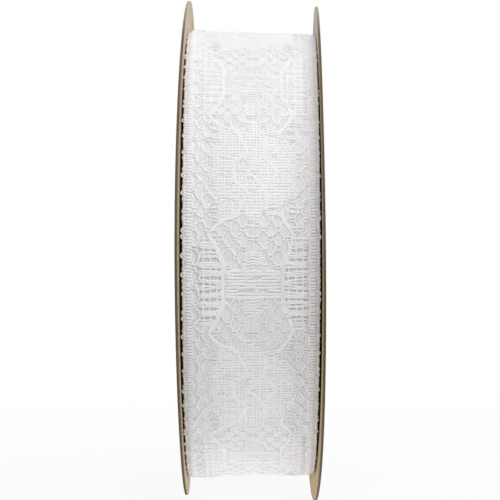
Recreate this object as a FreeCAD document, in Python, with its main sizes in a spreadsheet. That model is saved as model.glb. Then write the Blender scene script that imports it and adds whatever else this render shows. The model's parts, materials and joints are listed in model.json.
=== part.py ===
"""Lace ribbon on a board spool: two kraft-board discs on a crimped paper tube, wound with lace.

Frame: millimetres, +X along the spool's axis, +Z up, origin on the axis midway between the discs.
Angles round the spool are degrees from +Z towards +Y, so 0 is the top, 90 the back, 180 the bottom.
"""

import FreeCAD
import Part
import Sketcher

import math
import os

Vector = FreeCAD.Vector

# Driving dimensions, in millimetres, degrees and counts
SIZES = (
    ("ribbon_width", 28.0, "lace ribbon, edge to edge"),
    ("ribbon_thickness", 0.45, "lace ribbon, lightly pressed"),
    ("ribbon_side_gap", 0.5, "ribbon edge to the board beside it, each side"),
    ("board_thickness", 0.6, "kraft board of the discs"),
    ("disc_diameter", 112.0, "disc, outside"),
    ("disc_hole_round", 0.4, "rounding of the disc's hole on its outer face"),
    ("tube_diameter", 40.0, "paper tube, outside"),
    ("tube_wall", 1.0, "paper tube, wall"),
    ("tube_fit", 0.05, "clearance of the tube and its lips to the discs"),
    ("lip_width", 3.5, "crimped lip, beyond the tube's outside"),
    ("tape_thickness", 0.1, "adhesive tape"),
    ("tape_gap", 0.05, "clearance of a tape to what it lies on"),
    ("start_tape_width", 12.0, "tape on the tube, along the axis"),
    ("start_tape_angle", 60.0, "tape on the tube, round the axis"),
    ("winding_diameter", 99.2, "wound layers under the outer turn, outside"),
    ("shoulder_round", 1.2, "rounded edges of the wound layers"),
    ("turn_seat_gap", 0.05, "outer turn's inner end to the layers under it"),
    ("turn_gap", 0.45, "clearance between the outer turn's overlapping ends"),
    ("turn_start_angle", 72.0, "where the outer turn starts"),
    ("turn_overlap_angle", 10.0, "how far the outer turn passes its own start"),
    ("tail_angle", 47.0, "free end of the ribbon, round the axis"),
    ("tail_root_gap", 0.1, "clearance between the outer turn and the free end"),
    ("end_tape_width", 20.0, "tape on the free end, along the axis"),
    ("end_tape_on_tail", 8.0, "tape's length on the free end"),
    ("end_tape_on_roll", 8.0, "tape's length on the roll past the free end"),
    ("end_tape_step", 1.5, "length of the tape's step down from the free end to the roll"),
)

doc = FreeCAD.newDocument("lace_ribbon_spool")
sheet = doc.addObject("Spreadsheet::Sheet", "sizes")
for row, (alias, value, note) in enumerate(SIZES, start=1):
    sheet.set(f"A{row}", alias)
    sheet.set(f"B{row}", str(value))
    sheet.set(f"C{row}", note)
    sheet.setAlias(f"B{row}", alias)
doc.recompute()

# Places that several pieces share, as expressions on the sheet
DISC_INNER_X = "(sizes.ribbon_width / 2 + sizes.ribbon_side_gap)"
DISC_OUTER_X = f"({DISC_INNER_X} + sizes.board_thickness)"
LIP_INNER_X = f"({DISC_OUTER_X} + sizes.tube_fit)"
LIP_OUTER_X = f"({LIP_INNER_X} + sizes.tube_wall)"
TUBE_RADIUS = "(sizes.tube_diameter / 2)"
BORE_RADIUS = f"({TUBE_RADIUS} - sizes.tube_wall)"
DISC_HOLE_RADIUS = f"({TUBE_RADIUS} + sizes.tube_fit)"
LIP_BEND = "(sizes.disc_hole_round + sizes.tube_fit)"
START_TAPE_RADIUS = f"({TUBE_RADIUS} + sizes.tape_gap)"
WINDING_BORE_RADIUS = f"({START_TAPE_RADIUS} + sizes.tape_thickness + sizes.tape_gap)"


def size(alias):
    """A driving dimension's value."""
    return float(sheet.get(alias))


def add_ring(body, name, start_x, length, outer_radius, inner_radius):
    """A flat ring round the X axis, padded from start_x towards +X."""
    plane = next(f for f in body.Origin.OriginFeatures if f.Role == "YZ_Plane")
    sketch = body.newObject("Sketcher::SketchObject", f"{name}_sketch")
    sketch.AttachmentSupport = [(plane, "")]
    sketch.MapMode = "FlatFace"
    sketch.setExpression("AttachmentOffset.Base.z", start_x)
    for radius in (outer_radius, inner_radius):
        first_guess = 20.0 if radius is outer_radius else 10.0
        circle = sketch.addGeometry(Part.Circle(Vector(), Vector(0, 0, 1), first_guess), False)
        sketch.addConstraint(Sketcher.Constraint("Coincident", circle, 3, -1, 1))
        rule = sketch.addConstraint(Sketcher.Constraint("Radius", circle, first_guess))
        sketch.setExpression(f"Constraints[{rule}]", radius)
    pad = body.newObject("PartDesign::Pad", name)
    pad.Profile = sketch
    pad.setExpression("Length", length)
    doc.recompute()
    return pad


def round_edges(body, name, base, places, radius):
    """Fillets the circular edges whose (x, radius) is one of places."""
    wanted = [(evaluate(x), evaluate(r)) for x, r in places]
    near = 1e-4
    edges = []
    for index, edge in enumerate(base.Shape.Edges, start=1):
        if not isinstance(edge.Curve, Part.Circle):
            continue
        x, r = edge.Curve.Center.x, edge.Curve.Radius
        if any(abs(x - wx) < near and abs(r - wr) < near for wx, wr in wanted):
            edges.append(f"Edge{index}")
    if len(edges) != len(places):
        raise RuntimeError(f"{name}: {len(edges)} edges found for {len(places)} places")
    fillet = body.newObject("PartDesign::Fillet", name)
    fillet.Base = (base, edges)
    fillet.setExpression("Radius", radius)
    doc.recompute()
    return fillet


def evaluate(expression):
    """The value of an expression on the sheet."""
    return float(sheet.evalExpression(expression))


def new_body(label):
    body = doc.addObject("PartDesign::Body", label)
    body.Label = label
    return body


# Discs of kraft board, with the hole's outer edge rounded where the tube is crimped over it
def make_disc(label, outer_side_x, low_side_x):
    body = new_body(label)
    board = add_ring(
        body,
        f"{label}_board",
        low_side_x,
        "sizes.board_thickness",
        "sizes.disc_diameter / 2",
        DISC_HOLE_RADIUS,
    )
    round_edges(
        body,
        f"{label}_hole_round",
        board,
        [(outer_side_x, DISC_HOLE_RADIUS)],
        "sizes.disc_hole_round",
    )
    return body


left_flange = make_disc("left_flange", f"-{DISC_OUTER_X}", f"-{DISC_OUTER_X}")
right_flange = make_disc("right_flange", DISC_OUTER_X, DISC_INNER_X)

# Paper tube, with both ends crimped outwards into flat lips that hold the discs on
core_tube = new_body("core_tube")
add_ring(
    core_tube, "tube", f"-{LIP_OUTER_X}", f"2 * {LIP_OUTER_X}", TUBE_RADIUS, BORE_RADIUS
)
lip_edge_radius = f"({TUBE_RADIUS} + sizes.lip_width)"
lip_root_radius = f"({TUBE_RADIUS} - sizes.tube_wall / 2)"
add_ring(
    core_tube, "left_lip", f"-{LIP_OUTER_X}", "sizes.tube_wall", lip_edge_radius, lip_root_radius
)
right_lip = add_ring(
    core_tube, "right_lip", LIP_INNER_X, "sizes.tube_wall", lip_edge_radius, lip_root_radius
)
inner_bend = round_edges(
    core_tube,
    "lip_inner_bend",
    right_lip,
    [(f"-{LIP_INNER_X}", TUBE_RADIUS), (LIP_INNER_X, TUBE_RADIUS)],
    LIP_BEND,
)
round_edges(
    core_tube,
    "lip_outer_bend",
    inner_bend,
    [(f"-{LIP_OUTER_X}", BORE_RADIUS), (LIP_OUTER_X, BORE_RADIUS)],
    f"{LIP_BEND} + sizes.tube_wall",
)

# Tape that holds the ribbon's first turn to the tube, a sector of a thin ring
def make_tape_cylinder(name, radius):
    cylinder = doc.addObject("Part::Cylinder", name)
    cylinder.setExpression("Radius", radius)
    cylinder.setExpression("Height", "sizes.start_tape_width")
    cylinder.setExpression("Angle", "sizes.start_tape_angle")
    cylinder.Placement.Rotation = FreeCAD.Rotation(Vector(0, 1, 0), 90)
    cylinder.setExpression("Placement.Base.x", "-sizes.start_tape_width / 2")
    return cylinder


start_tape = doc.addObject("Part::Cut", "start_tape")
start_tape.Label = "start_tape"
start_tape.Base = make_tape_cylinder(
    "start_tape_outside", f"{START_TAPE_RADIUS} + sizes.tape_thickness"
)
start_tape.Tool = make_tape_cylinder("start_tape_inside", START_TAPE_RADIUS)

# Wound layers under the outer turn, with edges that round over between the discs
lace_winding = new_body("lace_winding")
layers = add_ring(
    lace_winding,
    "layers",
    "-sizes.ribbon_width / 2",
    "sizes.ribbon_width",
    "sizes.winding_diameter / 2",
    WINDING_BORE_RADIUS,
)
round_edges(
    lace_winding,
    "layers_shoulder",
    layers,
    [
        ("-sizes.ribbon_width / 2", "sizes.winding_diameter / 2"),
        ("sizes.ribbon_width / 2", "sizes.winding_diameter / 2"),
    ],
    "sizes.shoulder_round",
)


# Outer turn and free end: one ribbon that spirals outwards in tangent arcs, from the back over the
# top, down the front, under and up the back again
class SpiralArc:
    """One arc of the ribbon's middle line, from angle start to angle end, about its own centre."""

    def __init__(self, centre_y, centre_z, radius, start, end):
        self.centre_y = centre_y
        self.centre_z = centre_z
        self.radius = radius
        self.start = start
        self.end = end

    def point(self, angle, lift=0.0, x=0.0):
        """The place at an angle, lifted off the middle line."""
        turn = math.radians(angle)
        reach = self.radius + lift
        return Vector(x, self.centre_y + reach * math.sin(turn), self.centre_z + reach * math.cos(turn))

    def edge(self, lift=0.0, start=None, end=None):
        first = self.start if start is None else start
        last = self.end if end is None else end
        middle = (first + last) / 2
        points = [self.point(angle, lift) for angle in (first, middle, last)]
        return Part.Arc(*points).toShape()

    def next(self, angle, growth):
        """The tangent arc that follows, over an angle, with a radius larger by growth."""
        turn = math.radians(self.end)
        return SpiralArc(
            self.centre_y - growth * math.sin(turn),
            self.centre_z - growth * math.cos(turn),
            self.radius + growth,
            self.end,
            self.end - angle,
        )


TURN_ARCS = 4
FULL_TURN = 360
thickness = size("ribbon_thickness")
arc_angle = (FULL_TURN + size("turn_overlap_angle")) / TURN_ARCS
turn_pitch = thickness + size("turn_gap")
arc_growth = turn_pitch * arc_angle / FULL_TURN
first_radius = size("winding_diameter") / 2 + size("turn_seat_gap") + thickness / 2
turn_start = size("turn_start_angle")

turn_path = [SpiralArc(0, 0, first_radius, turn_start, turn_start - arc_angle)]
while len(turn_path) < TURN_ARCS:
    turn_path.append(turn_path[-1].next(arc_angle, arc_growth))
tail_path = turn_path[-1].next(size("tail_angle"), arc_growth)
tail_path.start -= math.degrees(size("tail_root_gap") / tail_path.radius)


def make_ribbon(label, path):
    """Sweeps the ribbon's section along the arcs of path."""
    half_width = size("ribbon_width") / 2
    corners = [
        path[0].point(path[0].start, lift, x)
        for lift, x in (
            (-thickness / 2, -half_width),
            (-thickness / 2, half_width),
            (thickness / 2, half_width),
            (thickness / 2, -half_width),
        )
    ]
    section = Part.makePolygon(corners + corners[:1])
    spine = Part.Wire([arc.edge() for arc in path])
    ribbon = doc.addObject("Part::Feature", label)
    ribbon.Label = label
    ribbon.Shape = spine.makePipeShell([section], True, False)
    expected = size("ribbon_width") * thickness * spine.Length
    print(f"{label}: length {spine.Length:.1f} mm, volume {ribbon.Shape.Volume / expected:.4f} of expected")
    return ribbon


lace_outer_turn = make_ribbon("lace_outer_turn", turn_path)
lace_tail = make_ribbon("lace_tail", [tail_path])


def least_gap_to_itself(path):
    """The least clearance between places on the ribbon that are over half a turn apart."""
    steps = 90
    places = []
    for arc in path:
        for step in range(steps + 1):
            angle = arc.start + (arc.end - arc.start) * step / steps
            places.append((angle, arc.point(angle)))
    gaps = [
        here.distanceToPoint(there) - thickness
        for angle, here in places
        for other, there in places
        if angle - other > FULL_TURN / 2
    ]
    return min(gaps)


print(f"lace_outer_turn: least gap to itself {least_gap_to_itself(turn_path):.3f} mm")


# Tape over the free end, which steps down from the ribbon to the roll before it
def make_end_tape():
    tape_inside = thickness / 2 + size("tape_gap")
    tape_outside = tape_inside + size("tape_thickness")
    roll_path = turn_path[0]

    def angle_of(length, radius):
        return math.degrees(length / radius)

    tail_from = tail_path.end + angle_of(size("end_tape_on_tail"), tail_path.radius)
    tail_to = tail_path.end - angle_of(2 * size("tape_thickness"), tail_path.radius)
    roll_from = tail_to + FULL_TURN - angle_of(size("end_tape_step"), roll_path.radius)
    roll_to = roll_from - angle_of(size("end_tape_on_roll"), roll_path.radius)
    over_tail = [tail_path.edge(lift, tail_from, tail_to) for lift in (tape_inside, tape_outside)]
    over_roll = [roll_path.edge(lift, roll_from, roll_to) for lift in (tape_inside, tape_outside)]

    def line(first, last):
        return Part.LineSegment(first, last).toShape()

    edges = []
    for on_tail, on_roll, lift in zip(over_tail, over_roll, (tape_inside, tape_outside)):
        step = line(tail_path.point(tail_to, lift), roll_path.point(roll_from, lift))
        edges += [on_tail, step, on_roll]
    edges.append(line(tail_path.point(tail_from, tape_inside), tail_path.point(tail_from, tape_outside)))
    edges.append(line(roll_path.point(roll_to, tape_inside), roll_path.point(roll_to, tape_outside)))
    outline = Part.Wire(Part.__sortEdges__(edges))
    tape_width = size("end_tape_width")
    tape = doc.addObject("Part::Feature", "end_tape")
    tape.Label = "end_tape"
    tape.Shape = Part.Face(outline).extrude(Vector(tape_width, 0, 0))
    tape.Placement.Base = Vector(-tape_width / 2, 0, 0)
    return tape


end_tape = make_end_tape()

# Every object is checked before any file is written
doc.recompute()
for item in doc.Objects:
    if "Invalid" in item.State or "Error" in item.State:
        raise RuntimeError(f"{item.Label} failed: {item.State}")

pieces = (
    left_flange,
    right_flange,
    core_tube,
    start_tape,
    lace_winding,
    lace_outer_turn,
    lace_tail,
    end_tape,
)
for piece in pieces:
    if piece.Shape.isNull() or not piece.Shape.isValid():
        raise RuntimeError(f"{piece.Label} has no valid shape")

os.makedirs("parts", exist_ok=True)
for piece in pieces:
    piece.Shape.exportStep(f"parts/{piece.Label}.step")
    box = piece.Shape.BoundBox
    print(
        f"{piece.Label}: {len(piece.Shape.Solids)} solid, {piece.Shape.Volume:.1f} mm3, "
        f"x {box.XMin:.2f} to {box.XMax:.2f}, y {box.YMin:.2f} to {box.YMax:.2f}, "
        f"z {box.ZMin:.2f} to {box.ZMax:.2f}"
    )

# The free end's hinge: the outer edge of the seam between it and the outer turn
hinge = turn_path[-1].point(turn_path[-1].end, thickness / 2)
print(f"free end hinge: y {hinge.y:.3f}, z {hinge.z:.3f}")
print(f"bore: radius {evaluate(BORE_RADIUS):.3f}, lip face x {evaluate(LIP_OUTER_X):.3f}")
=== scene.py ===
"""Dresses the lace ribbon spool: board discs, paper core, wound lace and its taped free end."""

import itertools
import json
import math

import bpy
import numpy as np
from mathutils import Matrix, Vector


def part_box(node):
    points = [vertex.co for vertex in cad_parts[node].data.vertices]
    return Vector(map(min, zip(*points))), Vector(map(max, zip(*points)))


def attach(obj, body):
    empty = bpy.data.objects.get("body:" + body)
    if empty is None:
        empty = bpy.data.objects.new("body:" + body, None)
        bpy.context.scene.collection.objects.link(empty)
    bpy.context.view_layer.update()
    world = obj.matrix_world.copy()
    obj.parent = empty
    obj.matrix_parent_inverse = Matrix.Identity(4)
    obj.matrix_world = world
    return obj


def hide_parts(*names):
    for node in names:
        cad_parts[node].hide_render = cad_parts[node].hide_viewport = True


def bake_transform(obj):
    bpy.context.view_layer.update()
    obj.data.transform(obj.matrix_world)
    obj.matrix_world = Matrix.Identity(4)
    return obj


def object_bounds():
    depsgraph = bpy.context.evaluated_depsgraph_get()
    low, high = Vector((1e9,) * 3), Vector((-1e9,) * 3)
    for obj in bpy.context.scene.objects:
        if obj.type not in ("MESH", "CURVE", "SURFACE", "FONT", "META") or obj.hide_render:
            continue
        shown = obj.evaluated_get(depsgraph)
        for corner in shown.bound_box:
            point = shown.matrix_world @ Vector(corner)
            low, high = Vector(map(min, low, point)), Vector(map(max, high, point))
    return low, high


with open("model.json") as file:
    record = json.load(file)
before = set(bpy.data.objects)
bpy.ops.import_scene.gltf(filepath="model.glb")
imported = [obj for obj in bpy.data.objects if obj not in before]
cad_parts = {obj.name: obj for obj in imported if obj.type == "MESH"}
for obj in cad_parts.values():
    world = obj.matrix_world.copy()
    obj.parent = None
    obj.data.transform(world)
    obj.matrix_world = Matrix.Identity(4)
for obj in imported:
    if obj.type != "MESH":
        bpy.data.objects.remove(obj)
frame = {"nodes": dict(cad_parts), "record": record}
cad_low, cad_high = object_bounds()

# Board discs
# Two flat rounds die-cut from kraft board under a millimetre thick, with darker cut edges.
# The tube passes through their holes with some slack, and they have slipped and bowed a little.
MM = 0.001
right_low, right_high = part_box("right_flange")
core_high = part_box("core_tube")[1]
BOARD = right_high[0] - right_low[0]
DISC_RADIUS = (right_high[1] - right_low[1]) / 2
DISC_INSIDE = right_low[0]
DISC_OUTSIDE = right_high[0]
LIP_RADIUS = core_high[2]
TUBE_BORE = frame["record"]["mounts"][0]["dims"]["r_mm"] * MM
LIP_GAP = 0.05 * MM
TUBE_WALL = core_high[0] - DISC_OUTSIDE - LIP_GAP
TUBE_OUTSIDE = TUBE_BORE + TUBE_WALL
DISC_SLIP = 0.63
HOLE_RADIUS = TUBE_OUTSIDE + LIP_GAP + DISC_SLIP * MM
DISC_SIDES = 240
DISC_RINGS = (54.5, 52.0, 48.0, 40.0, 31.0, 24.5)
DISC_MIDDLE = (DISC_INSIDE + DISC_OUTSIDE) / 2
EDGE_BEVEL = 0.09 * MM
EDGE_FROM = 0.99 * DISC_RADIUS
TOLERANCE = 0.02 * MM
END_FACING = 0.9
BOW_POWER = 4


def start_mesh(name):
    """Names the primitive that was just added and puts its place into its mesh."""
    piece = bpy.context.object
    piece.name = name
    piece.data.name = name
    bpy.ops.object.transform_apply(location=True, rotation=True, scale=True)
    return piece


def select_faces(piece, wanted):
    """In edit mode, selects the faces whose normal passes wanted."""
    bpy.ops.mesh.select_mode(type="FACE")
    bpy.ops.mesh.select_all(action="DESELECT")
    bpy.ops.object.mode_set(mode="OBJECT")
    for face in piece.data.polygons:
        face.select = wanted(face.normal)
    bpy.ops.object.mode_set(mode="EDIT")


def select_edges(piece, wanted):
    """In edit mode, selects the edges whose two ends pass wanted."""
    bpy.ops.mesh.select_mode(type="EDGE")
    bpy.ops.mesh.select_all(action="DESELECT")
    bpy.ops.object.mode_set(mode="OBJECT")
    places = [vertex.co for vertex in piece.data.vertices]
    for edge in piece.data.edges:
        edge.select = all(wanted(places[end]) for end in edge.vertices)
    bpy.ops.object.mode_set(mode="EDIT")


def off_axis(place):
    """Distance from the spool's axis."""
    return math.hypot(place[1], place[2])


def move_points(piece, shift):
    """Moves every point of the mesh to shift(places), an array in and an array out."""
    mesh = piece.data
    places = np.empty(len(mesh.vertices) * 3)
    mesh.vertices.foreach_get("co", places)
    moved = shift(places.reshape(-1, 3))
    mesh.vertices.foreach_set("co", np.asarray(moved, float).ravel())
    mesh.update()


def make_ring(name, radius, hole, width, middle_x, sides, rings=()):
    """A flat ring round the axis: a cylinder whose two ends are inset down to the hole and bridged."""
    bpy.ops.mesh.primitive_cylinder_add(
        vertices=sides,
        radius=radius,
        depth=width,
        location=(middle_x, 0, 0),
        rotation=(0, math.pi / 2, 0),
    )
    ring = start_mesh(name)
    bpy.ops.object.mode_set(mode="EDIT")
    select_faces(ring, lambda normal: abs(normal.x) > END_FACING)
    reached = radius
    for next_radius in list(rings) + [hole]:
        bpy.ops.mesh.inset(thickness=(reached - next_radius) * math.cos(math.pi / sides))
        reached = next_radius
    bpy.ops.mesh.delete(type="FACE")
    select_edges(ring, lambda place: abs(off_axis(place) - hole) < TOLERANCE)
    bpy.ops.mesh.bridge_edge_loops()
    bpy.ops.mesh.select_all(action="SELECT")
    bpy.ops.mesh.normals_make_consistent(inside=False)
    return ring


def make_disc(name, node, middle_x, slip, bow):
    """A board disc, softened at its cut edges.

    slip is how far it sits above the axis, and bow how far its rim has come along the axis, both in mm.
    """
    rings = [ring * MM for ring in DISC_RINGS]
    disc = make_ring(name, DISC_RADIUS, HOLE_RADIUS, BOARD, middle_x, DISC_SIDES, rings)
    select_edges(disc, lambda place: off_axis(place) > DISC_RADIUS - TOLERANCE)
    bpy.ops.mesh.bevel(offset=EDGE_BEVEL, segments=2, affect="EDGES")
    bpy.ops.object.mode_set(mode="OBJECT")
    for face in disc.data.polygons:
        on_edge = abs(face.normal.x) < END_FACING and off_axis(face.center) > EDGE_FROM
        face.material_index = int(on_edge)
    ply = disc.data.attributes.new("ply", "FLOAT", "POINT")
    for vertex, depth in zip(disc.data.vertices, ply.data):
        depth.value = (abs(vertex.co.x) - DISC_INSIDE) / BOARD

    def warp(places):
        radius = np.hypot(places[:, 1], places[:, 2])
        reach = np.clip((radius - LIP_RADIUS) / (DISC_RADIUS - LIP_RADIUS), 0, 1)
        back, up = places[:, 1] / radius, places[:, 2] / radius
        places[:, 0] += bow(back, up) * reach**BOW_POWER * MM
        places[:, 2] += slip * MM
        return places

    move_points(disc, warp)
    bpy.ops.object.shade_smooth_by_angle(angle=math.radians(40))
    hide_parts(node)
    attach(disc, "spool")
    return disc


def left_bow(back, up):
    """Bow in mm of the left rim, where it lies this far back and up as parts of its radius."""
    return 0.31 * up + 0.63 * up**2 - 0.24 * back**2 + 0.33 * back * up


def right_bow(back, up):
    """The same for the right rim."""
    return 0.25 * up + 0.08 * back - 0.29 * up**2 - 0.11 * back**2 + 0.72 * back * up


left_disc = make_disc("left_board_disc", "left_flange", -DISC_MIDDLE, DISC_SLIP, left_bow)
right_disc = make_disc("right_board_disc", "right_flange", DISC_MIDDLE, -DISC_SLIP, right_bow)


def new_material(name, roughness):
    """A new material, with its node tree and its shader."""
    material = bpy.data.materials.new(name)
    material.use_nodes = True
    tree = material.node_tree
    shader = tree.nodes["Principled BSDF"]
    shader.inputs["Roughness"].default_value = roughness
    return material, tree, shader


def linear(red, green, blue):
    """A colour from its 0 to 255 values, as light."""
    parts = [channel / 255 for channel in (red, green, blue)]
    parts = [p / 12.92 if p <= 0.04045 else ((p + 0.055) / 1.055) ** 2.4 for p in parts]
    return (*parts, 1.0)


def add_node(tree, kind, inputs, **settings):
    """Adds a node with its settings and inputs; an input is a socket to link or a plain value."""
    node = tree.nodes.new("ShaderNode" + kind)
    for name, value in settings.items():
        setattr(node, name, value)
    for key, value in inputs.items():
        if isinstance(value, bpy.types.NodeSocket):
            tree.links.new(value, node.inputs[key])
        else:
            node.inputs[key].default_value = value
    return node


def add_place(tree):
    """The piece's own coordinates."""
    return add_node(tree, "TexCoord", {}).outputs["Object"]


def add_split(tree, place, axis):
    """One coordinate of a place."""
    return add_node(tree, "SeparateXYZ", {"Vector": place}).outputs[axis]


def add_noise(tree, place, scale, detail=2.0, roughness=0.5):
    """Cloudy values, with so many clouds to the metre."""
    inputs = {"Vector": place, "Scale": scale, "Detail": detail, "Roughness": roughness}
    return add_node(tree, "TexNoise", inputs).outputs["Fac"]


def add_range(tree, value, start, stop, low=0.0, high=1.0, **settings):
    """Carries a value that runs from start to stop over to low and high, and holds it between them."""
    limits = {"From Min": start, "From Max": stop, "To Min": low, "To Max": high}
    return add_node(tree, "MapRange", {"Value": value, **limits}, **settings).outputs["Result"]


def add_math(tree, operation, *values):
    """A sum, product or other operation on values."""
    return add_node(tree, "Math", dict(enumerate(values)), operation=operation).outputs["Value"]


def add_ramp(tree, value, stops):
    """A colour that follows a value, from stops of a position and a 0 to 255 colour."""
    ramp = add_node(tree, "ValToRGB", {"Fac": value})
    elements = ramp.color_ramp.elements
    while len(elements) < len(stops):
        elements.new(1.0)
    for element, (position, colour) in zip(elements, stops):
        element.position = position
        element.color = linear(*colour)
    return ramp.outputs["Color"]


def add_mix(tree, factor, first, second):
    """Mixes two colours, each a socket or a plain colour; the node has them at 6, 7 and 2."""
    return add_node(tree, "Mix", {"Factor": factor, 6: first, 7: second}, data_type="RGBA").outputs[2]


def set_surface(tree, shader, colour, height, depth):
    """Gives a shader its colour, and a bump from a height."""
    tree.links.new(colour, shader.inputs["Base Color"])
    bump = add_node(tree, "Bump", {"Height": height, "Distance": depth})
    tree.links.new(bump.outputs["Normal"], shader.inputs["Normal"])


def make_fibre_group():
    """Paper fibres: a cloudy tone, fine streaks and scattered specks, from Object coordinates."""
    group = bpy.data.node_groups.new("paper_fibres", "ShaderNodeTree")
    group.interface.new_socket(name="Vector", in_out="INPUT", socket_type="NodeSocketVector")
    group.interface.new_socket(name="Streak Scale", in_out="INPUT", socket_type="NodeSocketFloat")
    for name in ("Tone", "Specks", "Height"):
        group.interface.new_socket(name=name, in_out="OUTPUT", socket_type="NodeSocketFloat")
    given = group.nodes.new("NodeGroupInput")
    made = group.nodes.new("NodeGroupOutput")
    place = given.outputs["Vector"]
    stretched = add_node(group, "Mapping", {"Vector": place, "Scale": (1.0, 0.22, 1.0)}).outputs["Vector"]
    streak = add_noise(group, stretched, given.outputs["Streak Scale"], detail=5, roughness=0.65)
    cloud = add_math(group, "MULTIPLY", add_noise(group, place, 140, detail=6), 0.5)
    tone = add_math(group, "MULTIPLY_ADD", streak, 0.5, cloud)
    specks = add_range(group, add_noise(group, stretched, 2600, detail=1), 0.66, 0.74)
    for name, value in (("Tone", tone), ("Specks", specks), ("Height", streak)):
        group.links.new(value, made.inputs[name])
    return group


paper_fibres = make_fibre_group()


def add_fibres(tree, place, streak_scale):
    """Puts the fibre group into a material."""
    inputs = {"Vector": place, "Streak Scale": streak_scale}
    return add_node(tree, "Group", inputs, node_tree=paper_fibres).outputs


def add_ply(tree):
    """How far through the board a place lies: 0 on its inner side and 1 on its outer side."""
    return add_node(tree, "Attribute", {}, attribute_name="ply").outputs["Fac"]


LINER_TONES = ((0.30, (178, 158, 122)), (0.50, (201, 182, 146)), (0.70, (212, 197, 167)))
LINER_SPECKS = (128, 104, 72)
# Painted colours for the discs' inner sides, by height: painted shade down the middle beside the lace,
# painted light at the top (greyer on the right disc, as a painted reflection of the white lace), and a
# plain tone of their own at the foot.
INNER_PAINTED_SHADE = (184, 165, 129)
INNER_SHARE = 0.85
LEFT_PAINTED_LIGHT, LEFT_FOOT_TONE = (240, 224, 196), (205, 187, 156)
RIGHT_PAINTED_LIGHT, RIGHT_FOOT_TONE = (225, 222, 211), (186, 165, 122)
EDGE_TONES = (
    (0.05, (122, 108, 86)), (0.30, (97, 85, 66)), (0.75, (88, 75, 54)), (0.95, (108, 97, 79)),
)
# Painted light on the die-cut edges near the top of each disc, where the lamps above fall on them.
EDGE_PAINTED_LIGHT = (186, 176, 156)
EDGE_LIGHT_SHARE = 0.8
EDGE_LIGHT_HEIGHTS = (0.82 * DISC_RADIUS, 0.98 * DISC_RADIUS)


def make_board_material(name, painted_top_light, foot_tone):
    """Kraft liner: a cloudy brown with fibres and darker specks.

    Its inner side is painted by height: painted light near the top, where it stands up towards the lamps,
    painted shade down the middle beside the lace, and a plain tone of its own near the foot.
    """
    material, tree, shader = new_material(name, 0.85)
    place = add_place(tree)
    fibres = add_fibres(tree, place, 900)
    face = add_ramp(tree, fibres["Tone"], LINER_TONES)
    height = add_range(tree, add_split(tree, place, "Z"), -DISC_RADIUS, DISC_RADIUS)
    # Painted light near the top and painted shade in the middle of the inner side, with a plain tone at
    # the foot.
    painted_shading_by_height = add_ramp(tree, height, ((0.06, foot_tone), (0.20, INNER_PAINTED_SHADE), (0.80, INNER_PAINTED_SHADE), (0.94, painted_top_light)))
    inside = add_range(tree, add_ply(tree), 0.0, 1.0, INNER_SHARE, 0.0)
    colour = add_mix(tree, inside, face, painted_shading_by_height)
    colour = add_mix(tree, fibres["Specks"], colour, linear(*LINER_SPECKS))
    set_surface(tree, shader, colour, fibres["Height"], 0.06 * MM)
    return material


def make_board_edge_material():
    """The die-cut edge: darker than the liners, darkest in its outer plies, and with painted light near
    the top of the disc.
    """
    material, tree, shader = new_material("kraft_board_edge", 0.9)
    place = add_place(tree)
    fibres = add_fibres(tree, place, 1500)
    ragged = add_math(tree, "MULTIPLY_ADD", fibres["Tone"], 0.5, add_ply(tree))
    plies = add_ramp(tree, add_math(tree, "SUBTRACT", ragged, 0.25), EDGE_TONES)
    # Painted light: the edge turns lighter near the top of the disc.
    lightening = add_range(tree, add_split(tree, place, "Z"), *EDGE_LIGHT_HEIGHTS, 0.0, EDGE_LIGHT_SHARE)
    colour = add_mix(tree, lightening, plies, linear(*EDGE_PAINTED_LIGHT))
    set_surface(tree, shader, colour, fibres["Height"], 0.1 * MM)
    return material


board_edge_material = make_board_edge_material()
for disc, painted_top_light, foot_tone in (
    (left_disc, LEFT_PAINTED_LIGHT, LEFT_FOOT_TONE),
    (right_disc, RIGHT_PAINTED_LIGHT, RIGHT_FOOT_TONE),
):
    disc.data.materials.append(make_board_material(disc.name, painted_top_light, foot_tone))
    disc.data.materials.append(board_edge_material)

# Paper core
# A wound paper tube through both discs, its ends crimped outwards over the boards into flat lips.
# The crimping tool leaves small pleats in the lips.
CRIMP_PLEATS = 28
CORE_SIDES = 224
LIP_BEND = 0.45 * MM
LIP_SOFTNESS = 0.2 * MM
BEND_STEPS = 5
PLEAT_DEPTH = 0.3 * MM
CORE_TONES = ((0.32, (150, 131, 102)), (0.52, (176, 157, 126)), (0.70, (194, 178, 150)))
CORE_SPECKS = (120, 99, 72)


def core_profile():
    """Half the tube's section, from the middle of its outside, round the lip, to its bore."""
    lip_in = DISC_OUTSIDE + LIP_GAP
    lip_out = lip_in + TUBE_WALL
    bend_x = lip_in - LIP_BEND
    bend_radius = TUBE_OUTSIDE + LIP_BEND
    quarter = [math.pi / 2 * step / BEND_STEPS for step in range(BEND_STEPS + 1)]

    def bend(radius):
        return [(bend_x + radius * math.sin(a), bend_radius - radius * math.cos(a)) for a in quarter]

    lip = [
        (lip_in, (bend_radius + LIP_RADIUS) / 2),
        (lip_in, LIP_RADIUS - LIP_SOFTNESS),
        (lip_in + LIP_SOFTNESS, LIP_RADIUS),
        (lip_out - LIP_SOFTNESS, LIP_RADIUS),
        (lip_out, LIP_RADIUS - LIP_SOFTNESS),
        (lip_out, (bend_radius + LIP_RADIUS) / 2),
    ]
    return bend(LIP_BEND) + lip + bend(LIP_BEND + TUBE_WALL)[::-1]


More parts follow.
